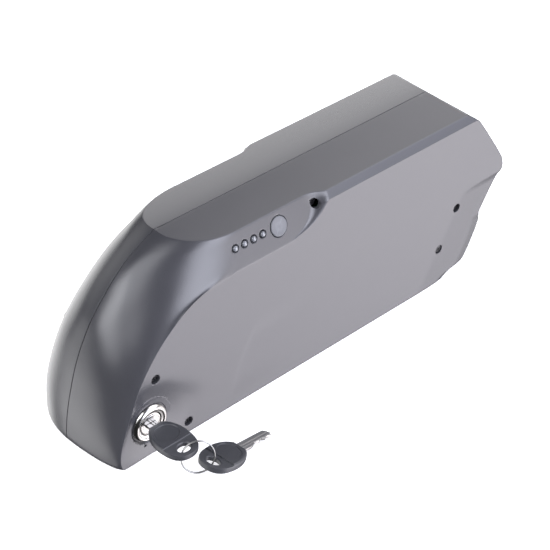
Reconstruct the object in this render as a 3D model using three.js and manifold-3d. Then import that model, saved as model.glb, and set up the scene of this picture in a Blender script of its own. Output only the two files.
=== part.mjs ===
// Lockable slide-on battery pack for a bicycle frame tube.
// Millimetres, +Z up. The pack stands on its flat base at z = 0. +X runs from the rounded
// nose, where the lock is, to the connector end. y = 0 is the plane where the two half
// shells meet, and -Y is the side with the lock, the charge lights and the power button.
import * as THREE from 'three';
import { mergeVertices } from 'three/addons/utils/BufferGeometryUtils.js';
import Module from 'manifold-3d';

const wasm = await Module();
wasm.setup();

// ---------- driving dimensions ----------
const WALL = 2.6;              // shell wall
const GAP = 0.3;               // clearance between touching pieces
const HALF_BASE = 45;          // half width at the base
const DRAFT = 0.056;           // side faces lean in by this much per mm of height
const TOP_EDGE_Z = 125.4;      // top face at its long edges
const TOP_RIDGE_Z = 129.6;     // top face at the parting line
const REAR_HALF_TOP = 34.4;    // half width of the top face behind the indicator strip
const STRIP_TILT = Math.tan(THREE.MathUtils.degToRad(22.2));   // indicator strip, off vertical
const STRIP_LOW_Z = 103.6;     // lower edge of the indicator strip
const REAR_BEVEL = 0.78;       // slope of the narrow bevel along the rear top edge
const NOSE_POWER = 1.92;       // roundness of the nose seen from above
const NOSE_POWER_FAR = 2.0;

// centre line of the nose, from the base up: [z, x]
const NOSE_TIP = [[0, -179.6], [2, -180.8], [8, -180.7], [21, -179.9], [37.5, -177.2], [60, -171.9],
  [80, -163.1], [90, -156.9], [100, -149.1], [109, -141.4], [117.4, -132.2], [124, -121.4],
  [127.3, -115.4], [129.4, -110.8], [132, -104.6]];
// where the nose surface meets the side face, from the base up: [z, x]
const NOSE_CREASE = [[0, -170.6], [2, -173.2], [8, -174.6], [18, -173.1], [35, -166.4], [54.7, -158.2],
  [70.7, -147.2], [81.8, -136.6], [95, -119.5], [101, -104.4], [STRIP_LOW_Z, -88],
  [110, -80.5], [118, -74.5], [TOP_EDGE_Z, -69.5], [132, -64]];
// the far side of the nose is rounder, and meets its side face farther back: [z, x]
const NOSE_CREASE_FAR = [[0, -145], [20, -151], [40, -146], [60, -136], [80, -119], [95, -103],
  [110, -82], [TOP_EDGE_Z, -68], [132, -62]];
// rear end of the side faces, from the base up: [z, x]
const REAR_END = [[0, 122.6], [4.5, 131.5], [5.2, 142], [7.4, 147.9], [33, 161.6], [38.3, 159.4],
  [41.8, 159.4], [66.1, 176.6], [68.2, 180.6], [74.3, 180.5], [80.6, 178], [116.7, 152.2],
  [121, 147.6], [TOP_EDGE_Z, 140.5], [130, 136], [132, 134]];
// rear end of the indicator strip, where it runs out into the side face: [z, x]
const STRIP_END = [[STRIP_LOW_Z, -31.5], [106.3, -16.6], [110.7, -5.6], [117.6, 0.9], [120.6, 3.6],
  [TOP_EDGE_Z, 4.8], [132, 4.8]];
// front of the same run-out, where the strip stops being flat: [z, x]
const STRIP_FLAT_END = [[STRIP_LOW_Z, -33], [106.3, -22], [110.7, -12], [115, -4.5], [119, -1.6],
  [132, -1.6]];

// plate let into the base, with two slots that drop over hooks on the bicycle's carrier
const SLIDE_PLATE = {
  halfLength: 112, halfWidth: 12, thickness: 2, slotX: 70, slotHalf: [15, 5], pocketTop: 5.9,
};
const FLOOR_TOP = 7.1;         // top of the thick floor over the plate

const CELL = {
  r: 9.15, length: 65, pitchX: 19.2, pitchZ: 18.9, firstX: -111.9, firstZ: 17.9, rows: 5, columns: 13,
};
const LOCK = {
  x: -149.6, z: 24.9, face: -44.4, recessFloor: -42.0, recessR: 14.2, bodyR: 10.9, plugR: 7.9,
};
const KEYWAY = { width: 8.6, height: 2.6 };
const BLADE = { width: 7.8, height: 1.9, length: 30 };
const HEAD = { length: 33.5, halfWidth: 12, thickness: 5.4, holeX: 4.9, holeY: 3.6, holeBack: 7.2 };
const RING = { r: 10.5, wire: 0.9, rise: 6.3 };
const SCREW = {
  headR: 2.85, headHeight: 2.2, shankR: 1.4, recessR: 3.2, boreR: 1.9, pillarR: 3.9, threadR: 1.7,
};
const SHELL_SCREWS = [[-144.6, 56.5], [132.6, 56.3], [-5.2, 119.2]];   // x, z: these join the two shells
const FRAME_SCREWS = [[-118.4, 9.1], [116.7, 29.1]];               // x, z: these hold the cell frame
const SIDE_SEAT = -37.5;       // y of a shell screw's head seat, low on the side face
const TOP_SEAT = -28.5;        // y of the top shell screw's head seat
const FRAME_SEAT = -40.6;      // y of a frame screw's head seat
const LIGHT_X = [-73.9, -66.15, -58.4, -50.65];
const LIGHT_DOWN = 9.9;        // how far down the strip the lights sit
const LIGHT_R = 2.15;
const BUTTON = { x: -37.1, down: 10.2, r: 6.7, gap: 0.35 };
const SOCKET = { low: [139, -18, 13], high: [151, 18, 33], wall: 2 };    // discharge socket housing
const CONTACT_Y = [-12, -4, 4, 12];
const CONTACT = { low: 18.7, high: 27.3, half: 0.6 };              // contact blades, z and half thickness
const CHARGE = { x: -139.5, z: 38, r: 8, wall: 1.8, pinR: 1.0 };   // charge socket, far side
const BOLT = { halfX: 5, yLow: -12.5, yHigh: -3.5, tipZ: 1.2, slotGap: 0.4 };  // latch bolt
const BOARD_Z = 106.5;         // underside of the control board
const BOARD_THICKNESS = 1.6;
const BUSBAR_HALF_WIDTH = 4;
const LEAD_R = 1.9;
const CHARGE_LEAD_R = 1.5;

// ---------- small helpers ----------
const at = (table, v) => {
  const last = table.length - 1;
  if (v <= table[0][0]) return table[0][1];
  if (v >= table[last][0]) return table[last][1];
  const i = table.findIndex(([k]) => k >= v);
  const [[k0, v0], [k1, v1]] = [table[i - 1], table[i]];
  return v0 + ((v1 - v0) * (v - k0)) / (k1 - k0);
};

function solid(geometry) {
  const g = geometry.clone();
  g.deleteAttribute('normal');
  g.deleteAttribute('uv');
  const merged = mergeVertices(g, 1e-4);
  const count = merged.getAttribute('position').count;
  const index = merged.index ? merged.index.array : Uint32Array.from({ length: count }, (_, i) => i);
  return new wasm.Manifold(new wasm.Mesh({
    numProp: 3,
    vertProperties: new Float32Array(merged.getAttribute('position').array),
    triVerts: new Uint32Array(index),
  }));
}

function geometryOf(manifold) {
  const mesh = manifold.getMesh();
  const g = new THREE.BufferGeometry();
  g.setAttribute('position', new THREE.BufferAttribute(new Float32Array(mesh.vertProperties), 3));
  g.setIndex(new THREE.BufferAttribute(new Uint32Array(mesh.triVerts), 1));
  g.computeVertexNormals();
  return g;
}

const join = (first, ...rest) => rest.reduce((sum, piece) => sum.add(piece), first);
const cut = (first, ...rest) => rest.reduce((left, piece) => left.subtract(piece), first);

function box(low, high) {
  const size = high.map((v, i) => v - low[i]);
  const g = new THREE.BoxGeometry(...size);
  g.translate(...low.map((v, i) => v + size[i] / 2));
  return g;
}

// round bar along Y from y0 to y1
function barY(r, y0, y1, x, z, sides = 20) {
  const g = new THREE.CylinderGeometry(r, r, y1 - y0, sides);
  g.translate(x, (y0 + y1) / 2, z);
  return g;
}

// a profile of [radius, height] turned about Z
function turned(profile, sides = 24) {
  const outline = profile.map(([r, h]) => new THREE.Vector2(r, h));
  return new THREE.LatheGeometry(outline, sides).rotateX(Math.PI / 2);
}

// a closed skin through rings of points, each ring the same length and counter-clockwise from above
function loft(rings) {
  const n = rings[0].length;
  const points = rings.flat();
  const faces = [];
  for (let k = 0; k < rings.length - 1; k++) {
    for (let i = 0; i < n; i++) {
      const j = (i + 1) % n;
      const [a, b, c, d] = [k * n + i, k * n + j, (k + 1) * n + j, (k + 1) * n + i];
      faces.push(a, b, c, a, c, d);
    }
  }
  const flat = rings[0].map(([x, y]) => new THREE.Vector2(x, y));
  for (const [a, b, c] of THREE.ShapeUtils.triangulateShape(flat, [])) faces.push(c, b, a);
  const top = (rings.length - 1) * n;
  const flatTop = rings[rings.length - 1].map(([x, y]) => new THREE.Vector2(x, y));
  for (const [a, b, c] of THREE.ShapeUtils.triangulateShape(flatTop, [])) {
    faces.push(top + a, top + b, top + c);
  }
  const g = new THREE.BufferGeometry();
  g.setAttribute('position', new THREE.BufferAttribute(new Float32Array(points.flat()), 3));
  g.setIndex(faces);
  return g;
}

const material = (colour, roughness, metalness) =>
  new THREE.MeshStandardMaterial({ color: colour, roughness, metalness });
const FINISH = {
  shell: material(0x6d6e76, 0.5, 0.0),
  rubber: material(0x2b2c2e, 0.85, 0.0),
  cell: material(0x2f7a5a, 0.45, 0.1),
  frame: material(0x26282b, 0.7, 0.0),
  board: material(0x1f5b36, 0.55, 0.0),
  alloy: material(0xa7abb0, 0.35, 0.9),
  nickel: material(0xc2c4c6, 0.3, 0.95),
  brass: material(0xb99646, 0.3, 0.95),
  chrome: material(0xd4d7da, 0.12, 1.0),
  lens: material(0xd5d9de, 0.15, 0.0),
  button: material(0x9ea2ad, 0.4, 0.0),
  screw: material(0x1c1d20, 0.45, 0.6),
  grip: material(0x33353a, 0.6, 0.0),
  red: material(0x9c2522, 0.5, 0.0),
  black: material(0x1b1b1d, 0.55, 0.0),
};

const pack = new THREE.Group();
function add(name, shape, finish) {
  const g = shape instanceof THREE.BufferGeometry ? shape : geometryOf(shape);
  const mesh = new THREE.Mesh(g, FINISH[finish]);
  mesh.name = name;
  pack.add(mesh);
  return mesh;
}

// ---------- body shape ----------
const sideHalf = (z) => HALF_BASE - DRAFT * z;
const stripHalf = (z) => Math.min(sideHalf(z), sideHalf(STRIP_LOW_Z) - STRIP_TILT * (z - STRIP_LOW_Z));
const rearHalf = (z) => Math.min(sideHalf(z), REAR_HALF_TOP + REAR_BEVEL * (TOP_EDGE_Z - z));

// half of the horizontal outline at height z, moved in by inset, from nose to rear
function halfOutline(z, inset, crease, power) {
  const tip = at(NOSE_TIP, z) + inset;
  const corner = at(crease, z) + inset * 0.5;
  const width = stripHalf(z) - inset;
  const points = [];
  const steps = 10;
  for (let i = 0; i <= steps; i++) {
    const t = (i / steps) * (Math.PI / 2);
    const across = Math.sin(t) ** (2 / power);
    const along = Math.cos(t) ** (2 / power);
    points.push([corner - (corner - tip) * along, width * across]);
  }
  const flatEnd = at(STRIP_FLAT_END, z);
  const end = at(STRIP_END, z);
  const rearWidth = rearHalf(z) - inset;
  points.push([flatEnd, width]);
  points.push([flatEnd + (end - flatEnd) * 0.6, width + (rearWidth - width) * 0.4]);
  points.push([end, rearWidth]);
  points.push([at(REAR_END, z) - inset, rearWidth]);
  return points;
}

function bodyLoft(levels, inset) {
  const rings = levels.map((z) => {
    const far = halfOutline(z, inset, NOSE_CREASE_FAR, NOSE_POWER_FAR).map(([x, y]) => [x, y, z]);
    const near = halfOutline(z, inset, NOSE_CREASE, NOSE_POWER).slice(1).map(([x, y]) => [x, -y, z]);
    return [...near, ...far.slice().reverse()];
  });
  return solid(loft(rings));
}

// prism along X under the crowned top, lowered by drop
function underTop(drop) {
  const across = 60;
  const crown = (y) => TOP_RIDGE_Z - (TOP_RIDGE_Z - TOP_EDGE_Z) * (Math.abs(y) / REAR_HALF_TOP) ** 1.4 - drop;
  const outline = [new THREE.Vector2(-across, -10), new THREE.Vector2(across, -10)];
  for (const y of [44, 34.4, 22, 10, 0, -10, -22, -34.4, -44]) {
    outline.push(new THREE.Vector2(y, crown(y)));
  }
  outline.splice(2, 0, new THREE.Vector2(across, crown(44)));
  outline.push(new THREE.Vector2(-across, crown(44)));
  const g = new THREE.ExtrudeGeometry(new THREE.Shape(outline), { depth: 420, bevelEnabled: false });
  g.rotateX(Math.PI / 2);
  g.rotateZ(Math.PI / 2);
  g.translate(-210, 0, 0);
  return solid(g);
}

const OUTER_LEVELS = [0, 2, 8, 20, 35, 54.7, 66.1, 68.2, 74.3, 80.6, 92, STRIP_LOW_Z, 106.3, 110.7, 117.6,
  121, TOP_EDGE_Z, 131];
const INNER_LEVELS = [WALL, 8, 33, 62, 80, 103, 117, 131];
const outer = bodyLoft(OUTER_LEVELS, 0).intersect(underTop(0));
const cavity = bodyLoft(INNER_LEVELS, WALL).intersect(underTop(WALL));

// points on the indicator strip: along its slope s from the top edge, and out of its face by d
const STRIP_ANGLE = Math.atan(1 / STRIP_TILT);
const stripPoint = (x, s, d) => [
  x,
  -30.1 - s * Math.cos(STRIP_ANGLE) - d * Math.sin(STRIP_ANGLE),
  125.8 - s * Math.sin(STRIP_ANGLE) + d * Math.cos(STRIP_ANGLE),
];
function onStrip(geometry, x, s, d = 0) {
  return geometry.rotateX(STRIP_ANGLE).translate(...stripPoint(x, s, d));
}

// ---------- shells ----------
function shellBlank(side) {
  const [keepLow, keepHigh] = side < 0 ? [-60, -GAP / 2] : [GAP / 2, 60];
  const keep = box([-220, keepLow, -5], [220, keepHigh, 140]);
  const [pillarLow, pillarHigh] = side < 0 ? [-60, -GAP] : [GAP, 60];
  const pillars = SHELL_SCREWS.map(([x, z]) => solid(barY(SCREW.pillarR, pillarLow, pillarHigh, x, z, 10)));
  const { halfLength, halfWidth, thickness } = SLIDE_PLATE;
  const floor = box([-halfLength - 4, -halfWidth - 4, 0.5], [halfLength + 4, halfWidth + 4, FLOOR_TOP]);
  const recess = box([-halfLength - GAP, -halfWidth - GAP, -5],
    [halfLength + GAP, halfWidth + GAP, thickness + GAP]);
  let shell = cut(outer, cavity);
  shell = join(shell, ...pillars, solid(floor)).intersect(outer);
  return cut(shell, solid(recess), ...hookSlots(0.6)).intersect(solid(keep));
}

function hookSlots(grow) {
  const { slotX, slotHalf, pocketTop } = SLIDE_PLATE;
  return [-slotX, slotX].map((x) => solid(box([x - slotHalf[0] - grow, -slotHalf[1] - grow, -5],
    [x + slotHalf[0] + grow, slotHalf[1] + grow, pocketTop])));
}

function sealGroove(grow) {
  const rimLow = WALL * 0.28 - grow;
  const rimHigh = WALL * 0.72 + grow;
  const slab = box([-215, -0.9 - grow, -5], [215, 0.9 + grow, 140]);
  const ringOuter = bodyLoft([rimLow, ...OUTER_LEVELS.slice(2)], rimLow).intersect(underTop(rimLow));
  const ringInner = bodyLoft([rimHigh, ...OUTER_LEVELS.slice(2)], rimHigh).intersect(underTop(rimHigh));
  const above = box([-215, -5, FLOOR_TOP + 1.4 - grow], [215, 5, 140]);
  return cut(ringOuter, ringInner).intersect(solid(slab)).intersect(solid(above));
}

const shellSeat = (z) => (z > 100 ? TOP_SEAT : SIDE_SEAT);

function nearShell() {
  let shell = shellBlank(-1);
  const boss = solid(barY(17.5, -50, -38, LOCK.x, LOCK.z, 18)).intersect(outer);
  shell = join(shell, boss);
  shell = cut(shell,
    solid(barY(LOCK.recessR, -60, LOCK.recessFloor, LOCK.x, LOCK.z, 28)),
    solid(barY(LOCK.bodyR + 0.5, -60, -30, LOCK.x, LOCK.z, 20)));
  for (const [x, z] of SHELL_SCREWS) {
    shell = cut(shell, solid(barY(SCREW.recessR, -60, shellSeat(z), x, z, 12)),
      solid(barY(SCREW.boreR, -60, 5, x, z, 8)));
  }
  for (const [x, z] of FRAME_SCREWS) {
    const padding = solid(barY(4.4, -60, FRAME_SEAT + 1.9, x, z, 12)).intersect(outer);
    shell = cut(join(shell, padding), solid(barY(SCREW.recessR, -60, FRAME_SEAT, x, z, 12)),
      solid(barY(SCREW.boreR, -60, -30, x, z, 8)));
  }
  for (const x of LIGHT_X) {
    const bore = new THREE.CylinderGeometry(LIGHT_R, LIGHT_R, 9, 10).rotateX(Math.PI / 2);
    shell = cut(shell, solid(onStrip(bore, x, LIGHT_DOWN, 0)));
  }
  const buttonR = BUTTON.r + BUTTON.gap;
  const buttonBore = new THREE.CylinderGeometry(buttonR, buttonR, 12, 22).rotateX(Math.PI / 2);
  const { halfX, yLow, yHigh, slotGap } = BOLT;
  const boltSlot = box([LOCK.x - halfX - slotGap, yLow - slotGap, -5],
    [LOCK.x + halfX + slotGap, yHigh + slotGap, WALL + 3]);
  shell = cut(shell, solid(onStrip(buttonBore, BUTTON.x, BUTTON.down, 0)), solid(boltSlot));
  return cut(shell, socketHole(), sealGroove(0.15));
}

function socketHole() {
  const { low, high } = SOCKET;
  return solid(box([low[0] - 4, low[1] - GAP, low[2] - GAP], [175, high[1] + GAP, high[2] + GAP]));
}

function farShell() {
  let shell = shellBlank(1);
  const boss = solid(barY(CHARGE.r + 4, 38, 60, CHARGE.x, CHARGE.z, 18)).intersect(outer);
  shell = join(shell, boss);
  for (const [x, z] of SHELL_SCREWS) shell = cut(shell, solid(barY(SCREW.threadR, -5, 28, x, z, 8)));
  const bore = solid(barY(CHARGE.r + GAP, 30, 60, CHARGE.x, CHARGE.z, 20));
  return cut(shell, bore, socketHole(), sealGroove(0.15));
}

add('near_shell', nearShell(), 'shell');
add('far_shell', farShell(), 'shell');
const sealStop = box([100, -5, -5], [200, 5, SOCKET.high[2] + 1]);
add('perimeter_seal', cut(sealGroove(-0.16), solid(sealStop)), 'rubber');

const plate = box([-SLIDE_PLATE.halfLength, -SLIDE_PLATE.halfWidth, 0],
  [SLIDE_PLATE.halfLength, SLIDE_PLATE.halfWidth, SLIDE_PLATE.thickness]);
add('slide_plate', cut(solid(plate), ...hookSlots(0)), 'alloy');

// ---------- fasteners ----------
function screw(headBottom, headTop, tip, x, z) {
  const head = solid(barY(SCREW.headR, headTop, headBottom, x, z, 10));
  const shank = solid(barY(SCREW.shankR, headBottom - 0.5, tip, x, z, 6));
  const drive = solid(barY(1.3, headTop - 1, headTop + 1.4, x, z, 6));
  return cut(join(head, shank), drive);
}
SHELL_SCREWS.forEach(([x, z], i) => {
  const seat = shellSeat(z) - GAP;
  add(`shell_screw_${i + 1}`, screw(seat, seat - SCREW.headHeight, 22, x, z), 'screw');
});
FRAME_SCREWS.forEach(([x, z], i) => {
  add(`frame_screw_${i + 1}`, screw(FRAME_SEAT - GAP, -42.7, -34.4, x, z), 'screw');
});

// ---------- cells, their strips and frames ----------
const columnX = (i) => CELL.firstX + i * CELL.pitchX;
const rowZ = (k) => CELL.firstZ + k * CELL.pitchZ;
for (let i = 0; i < CELL.columns; i++) {
  const cells = [];
  for (let k = 0; k < CELL.rows; k++) {
    cells.push(solid(barY(CELL.r, -CELL.length / 2, CELL.length / 2, columnX(i), rowZ(k), 8)));
  }
  const end = CELL.length / 2;
  const strip = (y0, y1) => solid(box([columnX(i) - 3, y0, rowZ(0) - 5],
    [columnX(i) + 3, y1, rowZ(CELL.rows - 1) + 5]));
  const group = join(cells[0], ...cells.slice(1), strip(-end - 0.4, -end + 0.2), strip(end - 0.2, end + 0.4));
  add(`cell_group_${String(i + 1).padStart(2, '0')}`, group, 'cell');
}

function cellFrame(side) {
  const y0 = side < 0 ? -33.6 : 27;
  const low = [columnX(0) - 11.6, y0, rowZ(0) - 10.4];
  const high = [columnX(CELL.columns - 1) + 9.9, y0 + 6.6, rowZ(CELL.rows - 1) + 10.4];
  let plate = solid(box(low, high)).intersect(bodyLoft(INNER_LEVELS, WALL + 0.5));
  for (let i = 0; i < CELL.columns; i++) {
    plate = cut(plate, solid(box([columnX(i) - CELL.r - 0.15, y0 - 1, rowZ(0) - 9.3],
      [columnX(i) + CELL.r + 0.15, y0 + 8, rowZ(CELL.rows - 1) + 9.3])));
  }
  return plate;
}
function nearFrame() {
  let plate = cellFrame(-1);
  FRAME_SCREWS.forEach(([x, z]) => {
    const ear = solid(barY(4.2, -38.4, -33.3, x, z, 12));
    const web = solid(box([x - 11, -35, z - 5], [x + 10, -33.3, z + 5]));
    plate = cut(join(plate, ear, web), solid(barY(1.7, -40, -33.8, x, z, 10)));
  });
  return plate;
}
add('cell_frame_near', nearFrame(), 'frame');
add('cell_frame_far', cellFrame(1), 'frame');

// ---------- electronics ----------
add('bms_board', box([-22, -28, BOARD_Z], [100, 28, BOARD_Z + BOARD_THICKNESS]), 'board');
function heatSink() {
  const fins = [];
  for (let i = 0; i < 6; i++) {
    const y = -17 + i * 6.6;
    fins.push(solid(box([5, y, BOARD_Z + 4], [65, y + 1.8, BOARD_Z + 11])));
  }
  return join(solid(box([3, -19, BOARD_Z + BOARD_THICKNESS + GAP], [67, 19, BOARD_Z + 4.2])), ...fins);
}
add('bms_heat_sink', heatSink(), 'alloy');
add('main_fuse', join(solid(box([76, -9, BOARD_Z + BOARD_THICKNESS + GAP], [94, 9, BOARD_Z + 9])),
  solid(box([80, -14, BOARD_Z + BOARD_THICKNESS + GAP], [90, 14, BOARD_Z + 3.4]))), 'black');

// a flat bar across the end of two cell groups, up over the cells to the board
function busbar(fromX, x, y) {
  const inward = y * 0.75;
  const half = BUSBAR_HALF_WIDTH;
  const low = rowZ(3) - half;
  const [left, right] = [Math.min(fromX, x) - half, Math.max(fromX, x) + half];
  const across = box([left, y - 0.5, low], [right, y + 0.5, low + 2 * half]);
  const rise = box([x - half, y - 0.5, low], [x + half, y + 0.5, BOARD_Z - 1]);
  const foot = box([x - half, Math.min(y, inward), BOARD_Z - 2.2],
    [x + half, Math.max(y, inward), BOARD_Z - 0.9]);
  return join(solid(across), solid(rise), solid(foot));
}
add('positive_busbar', busbar(columnX(CELL.columns - 1), columnX(CELL.columns - 2), -34.7), 'nickel');
add('negative_busbar', busbar(columnX(0), columnX(1) + 4, 34.7), 'nickel');

// insulated lead along a smooth route
function lead(route, r) {
  const path = new THREE.CatmullRomCurve3(route.map((p) => new THREE.Vector3(...p)));
  const section = new THREE.Shape();
  section.absarc(0, 0, r, 0, Math.PI * 2);
  return new THREE.ExtrudeGeometry(section, {
    steps: 14, curveSegments: 4, extrudePath: path, bevelEnabled: false,
  });
}
for (const [name, side, finish] of [['positive', 1, 'red'], ['negative', -1, 'black']]) {
  const route = [[97, 12, 111], [112, 13, 113], [134, 13, 104], [145, 12, 78], [144, 11, 55],
    [136, 9, 38], [134, 8, 26], [137.4, 8, 23]].map(([x, y, z]) => [x, y * side, z]);
  add(`discharge_lead_${name}`, lead(route, LEAD_R), finish);
}
add('charge_lead', lead([[-24, 14, 110.5], [-60, 20, 110.5], [-100, 18, 110], [-122, 15, 107], [-133, 12, 88],
  [-137, 10, 64], [-139.5, 16, 42], [CHARGE.x, 28.9, CHARGE.z]], CHARGE_LEAD_R), 'black');

// ---------- discharge socket in the connector end ----------
function dischargeSocket() {
  const { low, high, wall } = SOCKET;
  const recess = box([low[0] + 4, low[1] + wall, low[2] + wall],
    [high[0] + 5, high[1] - wall, high[2] - wall]);
  let housing = cut(solid(box(low, high)), solid(recess));
  for (const y of CONTACT_Y) {
    const slot = box([low[0] - 2, y - CONTACT.half - GAP, CONTACT.low - GAP],
      [low[0] + 6, y + CONTACT.half + GAP, CONTACT.high + GAP]);
    housing = cut(housing, solid(slot));
  }
  return housing;
}
add('discharge_socket', dischargeSocket(), 'black');
CONTACT_Y.forEach((y, i) => {
  add(`contact_blade_${i + 1}`, box([SOCKET.low[0] + 0.5, y - CONTACT.half, CONTACT.low],
    [SOCKET.low[0] + 9, y + CONTACT.half, CONTACT.high]), 'brass');
});

// ---------- charge socket and its cap on the far side ----------
const chargeFace = sideHalf(CHARGE.z);
function chargeSocket() {
  const body = solid(barY(CHARGE.r, 30, chargeFace - 1.5, CHARGE.x, CHARGE.z, 20));
  const well = solid(barY(CHARGE.r - CHARGE.wall, 34, 60, CHARGE.x, CHARGE.z, 16));
  return cut(body, well, solid(barY(CHARGE.pinR + GAP, 25, 60, CHARGE.x, CHARGE.z, 10)));
}
add('charge_socket', chargeSocket(), 'black');
add('charge_pin', barY(CHARGE.pinR, 29.5, 36.5, CHARGE.x, CHARGE.z, 10), 'brass');
function chargeCap() {
  const [inside, outside] = [chargeFace + 0.9, chargeFace + 3.1];
  const { x, z, r } = CHARGE;
  const lid = solid(barY(r + 2.6, inside, outside, x, z, 28));
  const tab = solid(box([x - 4, inside, z + r], [x + 4, outside, z + r + 6]));
  return join(lid, tab);
}
add('charge_cap', chargeCap(), 'rubber');

// ---------- charge lights and power button on the strip ----------
LIGHT_X.forEach((x, i) => {
  const dome = turned([[0, -4.2], [1.8, -4.2], [1.8, 0.1], [1.5, 0.75], [0.8, 1.15], [0, 1.3]], 12);
  add(`charge_light_${i + 1}`, onStrip(dome, x, LIGHT_DOWN), 'lens');
});
const cap = turned([[0, -6.4], [2.2, -6.4], [2.2, -4.8], [BUTTON.r, -4.8], [BUTTON.r, 0.35],
  [BUTTON.r - 0.5, 0.8], [0, 1.0]], 20);
add('power_button', onStrip(cap, BUTTON.x, BUTTON.down), 'button');
const stripBoard = box([-80, -6, -10.6], [-26, 6, -9.4]);
add('indicator_board', onStrip(stripBoard, 0, 10), 'board');
add('button_switch', onStrip(box([-3, -3, -9.1], [3, 3, -7.7]), BUTTON.x, BUTTON.down), 'black');

// ---------- lock ----------
const alongLock = (g) => g.rotateX(Math.PI / 2).translate(LOCK.x, 0, LOCK.z);
const lathedLock = (profile, sides) => alongLock(turned(profile.map(([r, y]) => [r, -y]), sides));
add('lock_bezel', lathedLock([[8.5, -42.3], [13.4, -42.3], [13.4, -43.6], [12.4, -44.7], [10.2, -45.0],
  [8.5, -44.4], [8.5, -42.3]], 28), 'chrome');
add('lock_body', lathedLock([[8.2, -41.4], [8.2, -16], [LOCK.bodyR, -16], [LOCK.bodyR, -41.4],
  [8.2, -41.4]], 28), 'alloy');
function lockPlug() {
  const plug = solid(barY(LOCK.plugR, -43.8, -16, LOCK.x, LOCK.z, 28));
  const way = box([LOCK.x - KEYWAY.width / 2, -50, LOCK.z - KEYWAY.height / 2],
    [LOCK.x + KEYWAY.width / 2, -16.8, LOCK.z + KEYWAY.height / 2]);
  return cut(plug, solid(way));
}
add('lock_plug', lockPlug(), 'chrome');
function lockCam() {
  const disc = solid(barY(6.5, -15.7, -13.4, LOCK.x, LOCK.z, 20));
  const arm = box([LOCK.x - 2.5, -15.7, LOCK.z + 2], [LOCK.x + 2.5, -13.4, LOCK.z + 11.5]);
  return join(disc, solid(arm));
}
add('lock_cam', lockCam(), 'alloy');
const boltBlock = box([LOCK.x - BOLT.halfX, BOLT.yLow, BOLT.tipZ], [LOCK.x + BOLT.halfX, BOLT.yHigh, 17]);
const boltArm = box([LOCK.x - BOLT.halfX, BOLT.yLow, 16], [LOCK.x - 1.5, -8, 29]);
add('latch_bolt', join(solid(boltBlock), solid(boltArm)), 'alloy');

// ---------- keys ----------
// a key lies along +X from its head's outer end at x = 0, with its broad faces up and down
function keyHead() {
  const { length, halfWidth, thickness, holeX, holeY, holeBack } = HEAD;
  const outline = new THREE.Shape();
  outline.moveTo(length, -4.6);
  outline.lineTo(length, 4.6);
  outline.bezierCurveTo(length - 2, 8.5, length - 8, halfWidth, length * 0.5, halfWidth);
  outline.bezierCurveTo(5, halfWidth, 0, 8, 0, 0);
  outline.bezierCurveTo(0, -8, 5, -halfWidth, length * 0.5, -halfWidth);
  outline.bezierCurveTo(length - 8, -halfWidth, length - 2, -8.5, length, -4.6);
  const hole = new THREE.Path();
  hole.absellipse(holeBack, 0, holeY, holeX, 0, Math.PI * 2, true);
  outline.holes.push(hole);
  const body = new THREE.ExtrudeGeometry(outline, {
    depth: thickness, bevelEnabled: false, curveSegments: 7,
  });
  body.translate(0, 0, -thickness / 2);
  const thin = box([-2, -20, thickness * 0.33], [13.5, 20, 10]);
  const thinUnder = box([-2, -20, -10], [13.5, 20, -thickness * 0.33]);
  return geometryOf(cut(solid(body), solid(thin), solid(thinUnder)));
}
function keyBlade() {
  const from = HEAD.length + GAP;
  const half = BLADE.width / 2;
  const teeth = [[30, 0.8], [26.5, 2.2], [24, 0.9], [21, 2.6], [18, 1.2], [15, 2.4], [12, 1.1], [9, 0]];
  const outline = [new THREE.Vector2(from, -half), ...teeth.slice().reverse().map(([x, bite]) =>
    new THREE.Vector2(from + x - 2, -half + bite))];
  outline.push(new THREE.Vector2(from + BLADE.length, 0), new THREE.Vector2(from + BLADE.length - 3, half),
    new THREE.Vector2(from, half));
  const g = new THREE.ExtrudeGeometry(new THREE.Shape(outline), { depth: BLADE.height, bevelEnabled: false });
  return g.translate(0, 0, -BLADE.height / 2);
}

const KEY1_OUT = LOCK.face - 3.2 - HEAD.length;   // y of the outer end of the inserted key
function placeKeyOne(g) {
  return g.rotateZ(Math.PI / 2).translate(LOCK.x, KEY1_OUT, LOCK.z);
}
add('key_1_head', placeKeyOne(keyHead()), 'grip');
add('key_1_blade', placeKeyOne(keyBlade()), 'nickel');

// the split ring rests over the edge of the first key's head and through its hole
const ringNormal = new THREE.Vector3(-0.483, -0.819, 0.311).normalize();
const ringAcross = new THREE.Vector3(-ringNormal.y, ringNormal.x, 0).normalize();
const ringUp = new THREE.Vector3().crossVectors(ringNormal, ringAcross).normalize();
if (ringUp.z < 0) ringUp.negate();
const holeOne = new THREE.Vector3(LOCK.x, KEY1_OUT + HEAD.holeBack, LOCK.z);
const ringCentre = holeOne.clone()
  .addScaledVector(ringAcross, Math.sqrt(RING.r ** 2 - RING.rise ** 2))
  .addScaledVector(ringUp, -RING.rise);
function onRing(angle) {
  return ringCentre.clone()
    .addScaledVector(ringAcross, RING.r * Math.cos(angle))
    .addScaledVector(ringUp, RING.r * Math.sin(angle));
}
const ringAxis = new THREE.Vector3().crossVectors(ringAcross, ringUp);
const ringTurn = new THREE.Matrix4().makeBasis(ringAcross, ringUp, ringAxis);
const ringShape = new THREE.TorusGeometry(RING.r, RING.wire, 6, 26).applyMatrix4(ringTurn)
  .translate(ringCentre.x, ringCentre.y, ringCentre.z);
add('split_ring', ringShape, 'nickel');

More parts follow.
